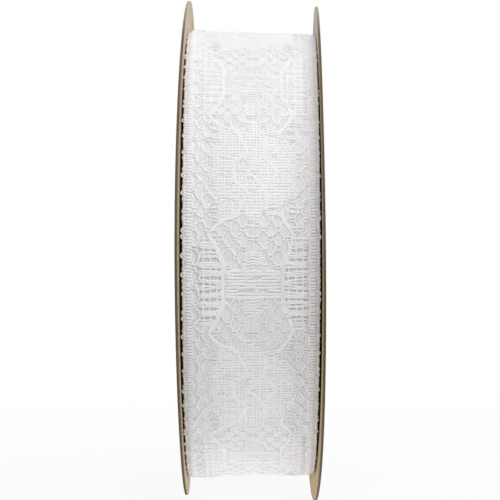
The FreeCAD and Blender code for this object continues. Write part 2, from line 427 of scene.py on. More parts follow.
def make_core():
    """The section spun round the axis, with its lips pleated."""
    half = core_profile()
    section = half + [(-x, r) for x, r in reversed(half)]
    bpy.ops.mesh.primitive_circle_add(vertices=len(section), radius=1, fill_type="NOTHING")
    core = start_mesh("crimped_paper_core")
    for vertex, (x, r) in zip(core.data.vertices, section):
        vertex.co = (x, 0, r)
    bpy.ops.object.mode_set(mode="EDIT")
    bpy.ops.mesh.select_all(action="SELECT")
    bpy.ops.mesh.spin(steps=CORE_SIDES, angle=2 * math.pi, center=(0, 0, 0), axis=(1, 0, 0))
    bpy.ops.mesh.select_all(action="SELECT")
    bpy.ops.mesh.remove_doubles(threshold=0.001 * MM)
    bpy.ops.mesh.normals_make_consistent(inside=False)
    bpy.ops.object.mode_set(mode="OBJECT")

    def pleat(places):
        radius = np.hypot(places[:, 1], places[:, 2])
        turn = np.arctan2(places[:, 2], places[:, 1])
        lip_start = TUBE_OUTSIDE + LIP_BEND
        reach = np.clip((radius - lip_start) / (LIP_RADIUS - lip_start), 0, 1)
        uneven = np.sin(CRIMP_PLEATS * turn + 0.9 * np.sin(5 * turn))
        outer_side = np.abs(places[:, 0]) > DISC_OUTSIDE + 0.5 * TUBE_WALL
        pressed = outer_side * reach * (0.5 + 0.5 * uneven) * PLEAT_DEPTH
        places[:, 0] -= np.sign(places[:, 0]) * pressed
        grown = 1 + reach * (0.25 * uneven - 0.15 + 0.2 * np.sin(3 * turn)) * MM / radius
        places[:, 1:] *= grown[:, None]
        return places

    move_points(core, pleat)
    bpy.ops.object.shade_smooth_by_angle(angle=math.radians(50))
    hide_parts("core_tube")
    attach(core, "spool")
    return core


core = make_core()


def make_core_material():
    """Unbleached paper, a little greyer than the board, with fine fibres."""
    material, tree, shader = new_material("core_paper", 0.8)
    fibres = add_fibres(tree, add_place(tree), 1300)
    tone = add_ramp(tree, fibres["Tone"], CORE_TONES)
    colour = add_mix(tree, fibres["Specks"], tone, linear(*CORE_SPECKS))
    set_surface(tree, shader, colour, fibres["Height"], 0.05 * MM)
    return material


core.data.materials.append(make_core_material())

# Wound layers
# The turns of ribbon under the outer one, pressed into a soft white roll with rounded shoulders.
# They are wound a little slack, so the roll hangs low on its core and is fuller at its left edge.
HALF_RIBBON = 14.0
TURN_PITCH = 0.55
SEAM_ANGLE = 152.0
ROLL_TOP = 50.06
ROLL_SAG = 0.69
ROLL_TAPER = 0.35
SHOULDER_START = 12.6
SHOULDER_DROP = 0.38
RIPPLES = ((0.07, 5, 0.25, 0), (0.05, 11, -0.4, 2))
PUFF = 0.6
PUFF_X, PUFF_WIDTH = -11.6, 1.7
PUFF_ANGLE, PUFF_SPAN = 82, 20
SPREAD = 0.6
SPREAD_X, SPREAD_WIDTH = 11, 2.6
SPREAD_ANGLE, SPREAD_SPAN = 80, 22
LAYER_DEPTH = 0.11
LAYER_RISE = 0.025
SLACK_ANGLE = -14.0
SLACK_REACH = 0.45
BARS_DEPTH = 0.13
BARS_LENGTH = 8.5
BARS_FROM, BARS_TO = 6.0, 12.0
WAIST_LENGTH = 2.9
WAIST_SHARE = 0.3
BARS_EASE, SIDE_EASE, WAIST_EASE = 1.5, 0.8, 0.5
ROOT_SPAN = 12
LAYERS_LEFT = -13.4
LAYERS_RIGHT = 13.6
LAYERS_CUTS = (
    -13, -12.4, -11.8, -11.2, -9.8, -9, -7.7, -6.4, -5.4, -2.7,
    0, 2.5, 6, 7, 8.2, 9, 10.1, 11.2, 11.8, 12.4, 12.9,
)
LAYERS_RING = 47
ROLL_SIDES = 420
WINDING_BORE = 20.2
REPEAT_ANGLE = 53.2
LACE_RADIUS = 50.2
REPEAT = math.radians(REPEAT_ANGLE) * LACE_RADIUS
WAIST_ANGLE = -7.8
MOTIF_X = 0.37


def roll_radius(angle, x):
    """Radius in mm of the ribbon's middle at an angle in degrees above the front, x mm across."""
    spiral = ROLL_TOP + TURN_PITCH * (90 - angle) / 360
    turn = np.radians(angle)
    slack = -ROLL_SAG * np.sin(turn)
    taper = -ROLL_TAPER * x / HALF_RIBBON
    shoulder = np.clip((np.abs(x) - SHOULDER_START) / (HALF_RIBBON - SHOULDER_START), 0, 1.1)
    ripple = sum(size * np.sin(waves * turn + slant * x + phase) for size, waves, slant, phase in RIPPLES)
    puffed = PUFF * np.exp(-(((x - PUFF_X) / PUFF_WIDTH) ** 2) - ((angle - PUFF_ANGLE) / PUFF_SPAN) ** 2)
    return spiral + slack + taper + ripple + puffed - SHOULDER_DROP * shoulder**2


def layer_depth(angle, x):
    """How far in mm the next turn lies below the outer one.

    It is lower where the roll is slack at the front and back, near the free end's root, and where its own
    holes line up with those in and beside the waist.
    """
    from_waist = (angle - WAIST_ANGLE + REPEAT_ANGLE / 2) % REPEAT_ANGLE - REPEAT_ANGLE / 2
    off_waist = np.abs(from_waist) * REPEAT / REPEAT_ANGLE
    off_motif = np.abs(x - MOTIF_X)
    beside_fan = np.clip((off_motif - BARS_FROM) / SIDE_EASE, 0, 1)
    beside_fan *= np.clip((BARS_TO - np.abs(x)) / SIDE_EASE, 0, 1)
    bars = np.clip((BARS_LENGTH - off_waist) / BARS_EASE, 0, 1) * beside_fan
    waist = np.clip((WAIST_LENGTH - off_waist) / WAIST_EASE, 0, 1) * (off_motif < BARS_FROM)
    lined_up = 0.55 + 0.45 * np.cos(np.radians(3 * (angle - WAIST_ANGLE)))
    near_root = np.clip(1 - (angle - SEAM_ANGLE + 360) / ROOT_SPAN, 0, 1)
    slack = np.exp(-((np.sin(np.radians(angle - SLACK_ANGLE)) / SLACK_REACH) ** 2))
    depth = LAYER_DEPTH * slack - LAYER_RISE + TURN_PITCH * near_root**2
    return depth + BARS_DEPTH * lined_up * np.maximum(bars, WAIST_SHARE * waist)


def side_spread(angle, x):
    """How far in mm the layers have spread towards the right disc, at the top of the roll."""
    at_top = np.exp(-(((angle - SPREAD_ANGLE) / SPREAD_SPAN) ** 2))
    return SPREAD * at_top * np.clip((x - SPREAD_X) / SPREAD_WIDTH, 0, 1)


def make_wound_layers():
    """A ring cut into strips across, whose outside is then drawn to the roll's own shape."""
    roll = make_ring(
        "wound_lace_layers",
        ROLL_TOP * MM,
        WINDING_BORE * MM,
        (LAYERS_RIGHT - LAYERS_LEFT) * MM,
        (LAYERS_RIGHT + LAYERS_LEFT) / 2 * MM,
        ROLL_SIDES,
        [LAYERS_RING * MM],
    )
    for cut in LAYERS_CUTS:
        bpy.ops.mesh.select_all(action="SELECT")
        bpy.ops.mesh.bisect(plane_co=(cut * MM, 0, 0), plane_no=(1, 0, 0))
    bpy.ops.object.mode_set(mode="OBJECT")

    def settle(places):
        radius = np.hypot(places[:, 1], places[:, 2]) / MM
        angle = np.degrees(np.arctan2(places[:, 2], -places[:, 1]))
        angle = np.where(angle > SEAM_ANGLE, angle - 360, angle)
        x = places[:, 0] / MM
        wanted = roll_radius(angle, x) - layer_depth(angle, x)
        scale = np.where(radius > ROLL_TOP - 0.1, wanted / radius, 1.0)
        places[:, 1:] *= scale[:, None]
        places[:, 0] += side_spread(angle, x) * MM
        return places

    move_points(roll, settle)
    bpy.ops.object.shade_smooth_by_angle(angle=math.radians(50))
    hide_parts("lace_winding")
    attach(roll, "spool")
    return roll


wound_layers = make_wound_layers()


def make_layers_material():
    """Many thicknesses of lace, seen through the outer one: soft white with a faint mottle, a little
    greyer than the thread as painted shade for the holes of the turns below.
    """
    material, tree, shader = new_material("lace_layers", 0.9)
    place = add_place(tree)
    mottle = add_noise(tree, place, 700, detail=4)
    # Painted shade: a little greyer than the thread, for the holes of the turns below.
    tone = add_ramp(tree, mottle, ((0.35, (224, 224, 227)), (0.65, (234, 234, 236))))
    fuzz = add_noise(tree, place, 2200, detail=3)
    set_surface(tree, shader, tone, fuzz, 0.15 * MM)
    return material


wound_layers.data.materials.append(make_layers_material())

# Lace of the outer turn
# White knitted lace: pillar stitches run along it, laid-in threads cross them as net links, cloth,
# bars and ladders, thicker cords outline the flower and fan, and picot loops trim both edges.
HALF_REPEAT = REPEAT / 2
COURSES = 72
COURSE = REPEAT / COURSES
WALE = 1.45
LEFT_EDGE = -10
RIGHT_EDGE = 9
BORDER_START = 6
BORDER_WALES = {
    -10: -13.7, -9: -12.05, -8: -10.95, -7: -9.7, -6: -8.4,
    6: 9.1, 7: 10.5, 8: 11.85, 9: 13.7,
}
NET_ROW = 1.925
NET_FIRST = {-1: 4.35, 1: 3.6}
NET_SWING = 0.25
NET_STEPS = (-0.34, 0.34)
NET_ROWS = range(-2, 11)
BORDER_NET = 9.0
CLOTH_WALES = range(-8, 8)
CLOTH_LENGTH = 14.5
CLOTH_ROW = 0.65
CLOTH_THREAD = 0.31
WAIST_WALES = range(-4, 4)
WAIST_ROWS, WAIST_FIRST, WAIST_ROW = 9, -2.62, 0.66
WAIST_THREAD = 0.34
LEAF_ROWS, LEAF_FIRST, LEAF_ROW = 7, 2.95, 0.58
LEAF_THREAD = 0.28
RUNG_THREAD = 0.27
PICOT_SHAPE = ((0.08, 0), (0.25, 0.7), (0.5, 1), (0.75, 0.7), (0.92, 0))
PICOT_WAVES, PICOT_WAVE = 11, 0.5
PICOT_GAP = 0.12
OUTER_SPREAD = 0.5
lace_dice = np.random.default_rng(28)

# Outlines of half a repeat, as (distance along from the waist's middle, place across from the
# motif's middle), apart from the flower's foot, which has them the other way round; the other half
# mirrors them
FAN_LEFT = ((0.0, -6.1), (3.2, -6.0), (5.8, -6.6), (7.6, -7.5), (10.3, -9.2))
FAN_RIGHT = ((0.0, 6.0), (3.2, 6.0), (5.8, 6.8), (7.1, 7.4), (9.8, 8.2))
ARCH_LEFT = (
    (10.3, -9.2), (11.6, -8.0), (12.9, -6.5), (13.4, -4.8), (14.2, -3.2), (15.4, -2.7),
    (16.6, -2.4), (18.1, -1.3), (19.2, -1.4), (20.4, -2.8), (21.6, -4.1), (HALF_REPEAT, -4.0),
)
ARCH_RIGHT = ((9.8, 8.2), (11.6, 7.2), (13.2, 6.2), (14.1, 5.4), (14.5, 4.4), (14.4, 3.0))
STEM_RIGHT = ((15.0, 2.7), (17.0, 2.7), (18.3, 2.4), (19.9, 1.9))
ROSE_LEFT = ((19.9, 1.9), (21.5, 0.6), (22.6, -0.3), (HALF_REPEAT, -1.4))
ROSE_RIGHT = ((19.9, 1.9), (21.0, 3.2), (22.5, 4.4), (HALF_REPEAT, 5.2))
FLOWER_LEFT = ((12.6, -6.8), (16.7, -7.0), (18.2, -8.6), (21.4, -8.9), (22.9, -8.2), (HALF_REPEAT, -8.4))
FLOWER_RIGHT = ((13.3, 6.0), (16.3, 6.5), (17.8, 7.6), (19.2, 8.7), (21.5, 8.9), (HALF_REPEAT, 8.2))
FLOWER_FOOT = (
    (-9.2, 10.3), (-6.8, 12.7), (-4.4, 13.6), (-3.1, 14.4), (-2.3, 14.7), (0.0, 10.6),
    (2.3, 14.4), (3.4, 15.6), (4.4, 15.0), (6.0, 13.6), (7.2, 11.8), (8.2, 9.8),
)
LEAF_HALF = ((2.7, 2.1), (4.6, 2.15), (5.9, 1.8), (6.9, 0.0))
WAIST_EDGE = ((2.1, -6.0), (2.9, -3.4), (2.6, 0.0), (2.85, 3.4), (2.0, 6.0))
WAIST_END = 2.6
LEAF_END = 6.9
BRIDES_END = 9.4
BARS_LEFT = -10.6
BARS_RIGHT = 11.6


def along(outline, where):
    """Reads an outline at a place, straight between its points."""
    return np.interp(where, [point[0] for point in outline], [point[1] for point in outline])


def stitch_at(x, s):
    """The kind of stitch at x mm across the ribbon and s mm along it from the waist's middle."""
    w = x - MOTIF_X
    t = abs(s)
    left_fan, right_fan = along(FAN_LEFT, t), along(FAN_RIGHT, t)
    if t < BRIDES_END and BARS_LEFT < x < BARS_RIGHT and not left_fan < w < right_fan:
        return "bars"
    if abs(x) > BORDER_NET:
        return "net"
    if t < WAIST_END:
        return "waist"
    if t < LEAF_END and abs(w) < along(LEAF_HALF, t):
        return "leaf"
    if t > along(FLOWER_FOOT, w) and along(FLOWER_LEFT, t) < w < along(FLOWER_RIGHT, t):
        return "cloth"
    return "net"


def wale_place(wale):
    """Where a pillar stands across the ribbon, in mm from the ribbon's middle."""
    return BORDER_WALES.get(wale, MOTIF_X + WALE * wale)


def gap_middle(wale):
    """The middle of the gap between a pillar and the next."""
    return (wale_place(wale) + wale_place(wale + 1)) / 2


def thread(points, radius, lift=0.0):
    """A thread as rows of x, s, height and radius, all in mm."""
    rows = np.empty((len(points), 4))
    rows[:, :2] = points
    rows[:, 2] = lift
    rows[:, 3] = radius
    return rows


def net_lean(s):
    """Which way the net's pillars lean along the ribbon: 1 and -1 are turn about rows."""
    t = np.abs(s)
    first = np.where(s < 0, NET_FIRST[-1], NET_FIRST[1])
    settled = np.clip((HALF_REPEAT - t) / 1.2, 0, 1)
    return settled * np.tanh(4.0 * np.cos(np.pi * (t - first) / NET_ROW))


def net_order(number):
    """Counts the net's pillars or columns outwards; the border's first leans as the one before it."""
    return number + (number >= BORDER_START)


def eased(values):
    """Values along a pillar with their jumps spread over a few stitches."""
    reach = 3
    window = np.ones(2 * reach + 1) / (2 * reach + 1)
    return np.convolve(np.pad(values, reach, mode="reflect"), window, mode="valid")


PILLAR_RADIUS = {"net": 0.27, "cloth": 0.25, "bars": 0.24, "waist": 0.07, "leaf": 0.07, "ladder": 0.27}
PILLAR_LIFT = {"net": 0.0, "cloth": 0.05, "bars": -0.06, "waist": -0.06, "leaf": -0.06, "ladder": 0.0}


def knit_pillars():
    """Chains of stitches along the ribbon, which sway from side to side where they make net."""
    beading, swaying, swelling = 0.14, 0.25, 0.2
    s = np.linspace(-HALF_REPEAT, HALF_REPEAT, 3 * COURSES + 1)
    bead = 1 + beading * np.cos(2 * math.pi * s / COURSE)
    chains = {}
    for wale in range(LEFT_EDGE, RIGHT_EDGE + 1):
        home = wale_place(wale)
        kinds = [stitch_at(home, place) for place in s]
        if wale in (LEFT_EDGE, LEFT_EDGE + 1, RIGHT_EDGE - 1, RIGHT_EDGE):
            kinds = ["ladder"] * len(s)
        netted = eased([float(kind == "net") for kind in kinds])
        radius = eased([PILLAR_RADIUS[kind] for kind in kinds])
        lift = eased([PILLAR_LIFT[kind] for kind in kinds])
        side = -np.sign(wale) * (-1) ** net_order(abs(wale))
        first, second = lace_dice.uniform(0, 2 * math.pi, 2)
        uneven = 1 + swaying * np.sin(10 * math.pi * s / REPEAT + second)
        x = home + side * NET_SWING * uneven * netted * net_lean(s)
        swell = np.sin(22 * math.pi * s / REPEAT + first) * np.sin(6 * math.pi * s / REPEAT + second)
        radius = radius * bead * (1 + swelling * swell)
        chains[wale] = thread(np.stack([x, s], axis=1), radius, lift)
    return chains


def across(chains, wale, s):
    """Where a pillar is across the ribbon at s."""
    return float(np.interp(s, chains[wale][:, 1], chains[wale][:, 0]))


def knit_net_links(chains):
    """Two short laid-in threads past each place where two pillars of the net come together."""
    links = []
    past, lift = 0.1, 0.14
    for wale in range(LEFT_EDGE + 1, RIGHT_EDGE - 1):
        column = wale if wale >= 0 else -1 - wale
        for half, row in itertools.product((-1, 1), NET_ROWS):
            t = NET_FIRST[half] + NET_ROW * row
            tied = (row + net_order(column)) % 2 == 1 or column == BORDER_START - 1
            if tied and 0 < t < HALF_REPEAT and stitch_at(gap_middle(wale), half * t) == "net":
                for step in NET_STEPS:
                    s = half * (t + step) + lace_dice.uniform(-0.08, 0.08)
                    ends = [(across(chains, wale, s) - past, s), (across(chains, wale + 1, s) + past, s)]
                    links.append(thread(ends, lace_dice.uniform(0.18, 0.23), lift))
    return links


def laid_in_row(chains, wales, s, radius):
    """One laid-in thread past a run of pillars, fuller where each pillar holds it."""
    held, free = 1.12, 0.9
    held_at = [across(chains, wale, s) for wale in wales]
    steps = np.arange(2 * len(wales) - 1)
    x = np.interp(steps, steps[::2], held_at)
    fullness = np.where(steps % 2 == 0, held, free) * lace_dice.uniform(0.93, 1.07, len(steps))
    wavering = s + lace_dice.uniform(-0.05, 0.05, len(steps))
    return thread(np.stack([x, wavering], axis=1), radius * fullness)


def knit_row(chains, wales, filled, s, radius):
    """Laid-in threads along one row, past each run of pillars whose gaps are filled."""
    rows = []
    run = []
    for wale in wales:
        if filled(wale):
            run = run or [wale]
            run.append(wale + 1)
        elif run:
            rows.append(laid_in_row(chains, run, s, radius))
            run = []
    if run:
        rows.append(laid_in_row(chains, run, s, radius))
    return rows


def knit_cloth(chains):
    """Laid-in rows that fill the flower, with a stitch dropped here and there."""
    rows = []
    dropped = 0.05

    def filled(wale):
        return stitch_at(gap_middle(wale), s) == "cloth" and lace_dice.uniform() > dropped

    for half, number in itertools.product((-1, 1), range(int(CLOTH_LENGTH / CLOTH_ROW))):
        s = half * (HALF_REPEAT - (number + 0.5) * CLOTH_ROW)
        rows += knit_row(chains, CLOTH_WALES, filled, s, CLOTH_THREAD)
    return rows


def knit_cloth_chains():
    """Finer chains between the pillars, where the flower is filled."""
    chains = []
    for wale in CLOTH_WALES[1:-1]:
        home = gap_middle(wale)
        run = []
        for course in range(COURSES + 1):
            s = -HALF_REPEAT + course * COURSE
            filled = stitch_at(home, s) == "cloth"
            if filled:
                run.append((home, s))
            if len(run) > 1 and (not filled or course == COURSES):
                chains.append(thread(run, lace_dice.uniform(0.14, 0.18, len(run)), 0.09))
            if not filled:
                run = []
    return chains


def knit_bars(chains):
    """Bars beside the fan, drawn together in threes, that spread out from the waist's ends."""
    bars = []
    first, rise = 1.1, 1.93
    steps = (0.5, 0.97, 1.44)
    fan_out, fan_end = 0.5, 4
    clear = 0.3
    sides = ((FAN_LEFT, -8, (-7, -6, -5)), (FAN_RIGHT, 8, (7, 6, 5)))
    for half, side, group, step in itertools.product((-1, 1), sides, range(-1, 5), steps):
        outline, outer, wales = side
        t = first + rise * group + step + lace_dice.uniform(-0.1, 0.1)
        if not 0 < t < BRIDES_END:
            continue
        fanned = fan_out * max(0.0, 1 - t / fan_end)
        inner_w = along(outline, t)
        outer_x = across(chains, outer, half * t)
        points = [(outer_x, half * (t + fanned))]
        for wale in wales:
            x = across(chains, wale, half * t)
            if abs(x - MOTIF_X) > abs(inner_w) + clear:
                part = (abs(x - MOTIF_X) - abs(inner_w)) / (abs(outer_x - MOTIF_X) - abs(inner_w))
                points.append((x, half * (t + fanned * part) + lace_dice.uniform(-0.06, 0.06)))
        points.append((MOTIF_X + inner_w, half * t))
        bars.append(thread(points, lace_dice.uniform(0.21, 0.3), 0.02))
    return bars


def knit_waist(chains):
    """Close bars across the waist, with a few stitches left out as eyelets."""
    bars = []
    left_out = {(2, -2), (2, -1), (2, 1), (6, 0)}

    def filled(wale):
        return (number, wale) not in left_out

    for number in range(WAIST_ROWS):
        s = WAIST_FIRST + WAIST_ROW * number
        bars += knit_row(chains, WAIST_WALES, filled, s, WAIST_THREAD)
    return bars


def knit_leaves():
    """Wavy rows that fill the small leaf at each side of the waist."""
    rows = []
    wave_height, wave_length = 0.16, 1.9
    for half, number in itertools.product((-1, 1), range(LEAF_ROWS)):
        t = LEAF_FIRST + LEAF_ROW * number
        w = np.linspace(-1, 1, 9) * (along(LEAF_HALF, t) + 0.1)
        wave = wave_height * np.cos(2 * math.pi * w / wave_length)
        points = np.stack([MOTIF_X + w, half * (t + wave)], axis=1)
        rows.append(thread(points, LEAF_THREAD, 0.03))
    return rows


def knit_ladders(chains):
    """Rungs between the two pillars of each border, one a course."""
    rungs = []
    for wale, course in itertools.product((LEFT_EDGE, RIGHT_EDGE - 1), range(COURSES)):
        s = -HALF_REPEAT + (course + 0.5) * COURSE
        ends = [across(chains, wale, s), across(chains, wale + 1, s)]
        middle = sum(ends) / 2
        bow = lace_dice.uniform(-0.1, 0.1)
        radius = RUNG_THREAD * lace_dice.uniform(0.85, 1.15)
        rungs.append(thread([(ends[0], s), (middle, s + bow), (ends[1], s)], radius))
    return rungs


def knit_picots(chains):
    """Small loops outside both edges, one to two courses, some pulled out further than others."""
    loops = []
    for side, wale, furthest in ((-1, LEFT_EDGE, 0.42), (1, RIGHT_EDGE, 0.3)):
        for loop in range(COURSES // 2):
            start = -HALF_REPEAT + 2 * COURSE * loop
            edge = across(chains, wale, start)
            pulled = 1 + PICOT_WAVE * np.sin(2 * math.pi * PICOT_WAVES * start / REPEAT)
            reach = pulled * lace_dice.uniform(0.15, furthest)
            points = [(edge + side * reach * out, start + 2 * COURSE * part) for part, out in PICOT_SHAPE]
            loops.append(thread(points, lace_dice.uniform(0.16, 0.24)))
    return loops


def rounded(outline):
    """Cuts an outline's corners until it runs as a smooth line past its points."""
    line = np.asarray(outline, float)
    for _ in range(3):
        early = 0.75 * line[:-1] + 0.25 * line[1:]
        late = 0.25 * line[:-1] + 0.75 * line[1:]
        middle = np.stack([early, late], axis=1).reshape(-1, 2)
        line = np.vstack([line[:1], middle, line[-1:]])
    return line


def beside(line, offset):
    """A line that runs beside another."""
    heading = np.gradient(line, axis=0)
    heading /= np.linalg.norm(heading, axis=1)[:, None]
    return line + offset * np.stack([-heading[:, 1], heading[:, 0]], axis=1)


def knit_cords():
    """Thicker cords along the outlines, of one to three strands each."""
    cords = []
    leaf_left = tuple((t, -w) for t, w in LEAF_HALF)
    for half in (-1, 1):
        for outline, strands, radius, lift in (
            (FAN_LEFT, (-0.27, 0, 0.27), 0.28, 0.06), (FAN_RIGHT, (-0.22, 0.22), 0.26, 0.04),
            (ARCH_LEFT, (-0.15, 0.15), 0.25, 0.13), (ARCH_RIGHT, (-0.17, 0.17), 0.25, 0.12),
            (STEM_RIGHT, (-0.15, 0.15), 0.22, 0.12),
            (ROSE_LEFT, (-0.15, 0.15), 0.23, 0.12), (ROSE_RIGHT, (-0.15, 0.15), 0.23, 0.12),
            (FLOWER_LEFT, (0,), 0.24, 0.02), (FLOWER_RIGHT, (0,), 0.24, 0.02),
            (LEAF_HALF, (0,), 0.2, 0.0), (leaf_left, (0,), 0.2, 0.0), (WAIST_EDGE, (0,), 0.28, 0.04),
        ):
            for strand in strands:
                line = beside(rounded(outline), strand)
                points = np.stack([MOTIF_X + line[:, 1], half * line[:, 0]], axis=1)
                cords.append(thread(points, radius * lace_dice.uniform(0.85, 1.1, len(points)), lift))
    return cords


# Larger holes of half a repeat, as (distance along, place across the ribbon, radius)
EYELETS = (
    (5.5, -4.7, 0.8), (5.5, 5.45, 0.8), (15.4, -7.7, 0.8), (14.8, 8.1, 0.8),
    (20.4, -10.0, 0.8), (20.0, 10.0, 0.8), (12.2, -10.2, 0.6), (11.6, 9.9, 0.6),
    (1.2, -11.4, 0.6), (3.4, -11.4, 0.5), (5.4, -11.3, 0.5), (7.3, -11.4, 0.5),
    (2.6, 11.2, 0.45), (6.2, 11.2, 0.45),
)
ROWS_GIVE = 0.012
NET_GIVE = 0.036
# Waves to and fro, as (waves in a repeat, slant across it, two starts)
pulls = [(lace_dice.integers(6, 30), *lace_dice.uniform(-2.2, 2.2, 3)) for _ in range(14)]


def loosen(threads, give):
    """Shifts the threads to and fro like lace that was handled, the same at both ends of a repeat."""
    for rows in threads:
        x, s = rows[:, 0].copy(), rows[:, 1].copy()
        inside = np.clip((HALF_RIBBON - np.abs(x)) / 2, 0.2, 1)
        for turns, slant, first, second in pulls:
            phase = 2 * math.pi * turns * s / REPEAT + slant * x
            rows[:, 0] += give * inside * np.sin(phase + 1.4 * first)
            rows[:, 1] += give * inside * np.sin(phase + 1.4 * second)
        for half, (t, middle, radius) in itertools.product((-1, 1), EYELETS):
            way = rows[:, :2] - (middle, half * t)
            far = np.maximum(np.linalg.norm(way, axis=1), 0.01)
            pushed = np.sqrt(far**2 + radius**2 * np.exp(-((far / (1.6 * radius)) ** 2)))
            rows[:, :2] += way * (pushed / far - 1)[:, None]


def knit_repeat():
    """All the threads of one repeat, from the middle of one flower to the middle of the next."""
    chains = knit_pillars()
    rows = knit_cloth(chains) + knit_cloth_chains() + knit_waist(chains)
    rows += knit_leaves() + knit_ladders(chains)
    loosen(rows, ROWS_GIVE)
    net = knit_net_links(chains) + knit_bars(chains) + knit_picots(chains) + knit_cords()
    net += chains.values()
    loosen(net, NET_GIVE)
    return rows + net


def cut_thread(rows, s_from, s_to):
    """The stretches of a thread that lie between two places along the ribbon."""
    stretches = []
    run = []
    for here, there in zip(rows[:-1], rows[1:]):
        enter, leave = 0.0, 1.0
        if here[1] != there[1]:
            bounds = sorted((limit - here[1]) / (there[1] - here[1]) for limit in (s_from, s_to))
            enter, leave = max(0.0, bounds[0]), min(1.0, bounds[1])
        elif not s_from <= here[1] <= s_to:
            leave = -1.0
        if leave > enter:
            run = run or [here + (there - here) * enter]
            run.append(here + (there - here) * leave)
        if run and leave < 1.0:
            stretches.append(run)
            run = []
    return stretches + ([run] if run else [])


THREAD_FLATNESS = 0.5
OVERLAP = 0.3
repeat_threads = knit_repeat()


def make_flat_lace(name, s_from, s_to):
    """Lays the repeats between two places along the ribbon as flat thread tubes, in mm."""
    curve = bpy.data.curves.new(name, "CURVE")
    curve.dimensions = "3D"
    curve.twist_mode = "Z_UP"
    curve.bevel_depth = 1.0
    curve.bevel_resolution = 1
    curve.use_fill_caps = True
    first = math.floor((s_from + HALF_REPEAT) / REPEAT + 0.001)
    last = math.ceil((s_to - HALF_REPEAT) / REPEAT - 0.001)
    for number, rows in itertools.product(range(first, last + 1), repeat_threads):
        moved = rows + (0, number * REPEAT, 0, 0)
        for run in cut_thread(moved, s_from - OVERLAP, s_to + OVERLAP):
            spline = curve.splines.new("POLY")
            spline.points.add(len(run) - 1)
            for point, (x, s, lift, radius) in zip(spline.points, run):
                point.co = (x, s, lift, 1.0)
                point.radius = radius
    bpy.ops.object.select_all(action="DESELECT")
    lace = bpy.data.objects.new(name, curve)
    bpy.context.collection.objects.link(lace)
    lace.select_set(True)
    bpy.context.view_layer.objects.active = lace
    bpy.ops.object.convert(target="MESH")
    bpy.ops.object.mode_set(mode="EDIT")
    bpy.ops.mesh.select_all(action="SELECT")
    bpy.ops.mesh.remove_doubles(threshold=0.0005)
    bpy.ops.object.mode_set(mode="OBJECT")
    bpy.ops.object.shade_smooth()
    return bpy.context.object


def round_axis(x, angle, radius):
    """Places in metres, from mm across, degrees above the front and mm off the axis."""
    turn = np.radians(angle)
    return np.stack([x, -radius * np.cos(turn), radius * np.sin(turn)], axis=1) * MM


def wind_on(lace, waist_angle):
    """Wraps flat lace on the roll, with its s = 0 at an angle above the front.

    At the top it spreads half as far as the layers below, up to the right disc.
    """

    def wrap(places):
        x = places[:, 0]
        angle = waist_angle + places[:, 1] / REPEAT * REPEAT_ANGLE
        radius = roll_radius(angle, x) + places[:, 2] * THREAD_FLATNESS
        x = np.minimum(x + OUTER_SPREAD * side_spread(angle, x), DISC_INSIDE / MM - PICOT_GAP)
        return round_axis(x, angle, radius)

    move_points(lace, wrap)


def make_lace_material():
    """Soft white thread with fine filaments, with painted light that makes it a little cooler and whiter
    towards the ribbon's edges.
    """
    material, tree, shader = new_material("white_lace", 0.8)
    place = add_place(tree)
    tone = add_ramp(tree, add_noise(tree, place, 60), ((0.35, (236, 236, 239)), (0.65, (241, 241, 243))))
    # Painted light: cooler and whiter towards the edges, against the shade of the discs and the brown
    # light they reflect on to the lace.
    off_middle = add_math(tree, "ABSOLUTE", add_split(tree, place, "X"))
    edge = add_range(tree, off_middle, 9.0 * MM, 13.0 * MM)
    colour = add_mix(tree, edge, tone, linear(243, 244, 250))
    filament = add_noise(tree, place, 3200, detail=4)
    set_surface(tree, shader, colour, filament, 0.1 * MM)
    shader.inputs["Sheen Weight"].default_value = 0.15
    shader.inputs["Sheen Roughness"].default_value = 0.5
    return material


lace_material = make_lace_material()


def finish_lace(lace):
    """Gives a length of lace its material."""
    lace.data.materials.append(lace_material)


def place_along(angle, waist_angle):
    """How far in mm along the ribbon an angle is from a waist."""
    return (angle - waist_angle) / REPEAT_ANGLE * REPEAT


REPEATS = 6
FIRST_WAIST = WAIST_ANGLE + 3 * REPEAT_ANGLE
start_s = place_along(SEAM_ANGLE, FIRST_WAIST)
first_stretch = make_flat_lace("lace_first_stretch", -HALF_REPEAT, start_s)
wind_on(first_stretch, FIRST_WAIST)
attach(first_stretch, "spool")
finish_lace(first_stretch)

flat_repeat = make_flat_lace("lace_repeat", -HALF_REPEAT, HALF_REPEAT)
for number in range(1, REPEATS + 1):
    repeat = flat_repeat.copy()
    repeat.data = flat_repeat.data.copy()
    repeat.name = f"lace_repeat_{number}"
    bpy.context.collection.objects.link(repeat)
    wind_on(repeat, FIRST_WAIST - REPEAT_ANGLE * number)
    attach(repeat, "spool")
    finish_lace(repeat)
    if number == 1:
        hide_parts("lace_outer_turn")
bpy.data.objects.remove(flat_repeat)

# Free end of the lace
# The last stretch of the same ribbon, which lies on the outer turn at the back.
TAIL_ROOT = -208.0
TAIL_END = -255.0
LAST_WAIST = FIRST_WAIST - (REPEATS + 1) * REPEAT_ANGLE
tail_root_s = place_along(TAIL_ROOT, LAST_WAIST)
tail_end_s = place_along(TAIL_END, LAST_WAIST)

last_stretch = make_flat_lace("lace_last_stretch", tail_root_s, HALF_REPEAT)
wind_on(last_stretch, LAST_WAIST)
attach(last_stretch, "spool")
finish_lace(last_stretch)

free_end = make_flat_lace("lace_free_end", tail_end_s, tail_root_s)
wind_on(free_end, LAST_WAIST)
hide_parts("lace_tail")
finish_lace(free_end)
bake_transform(free_end)

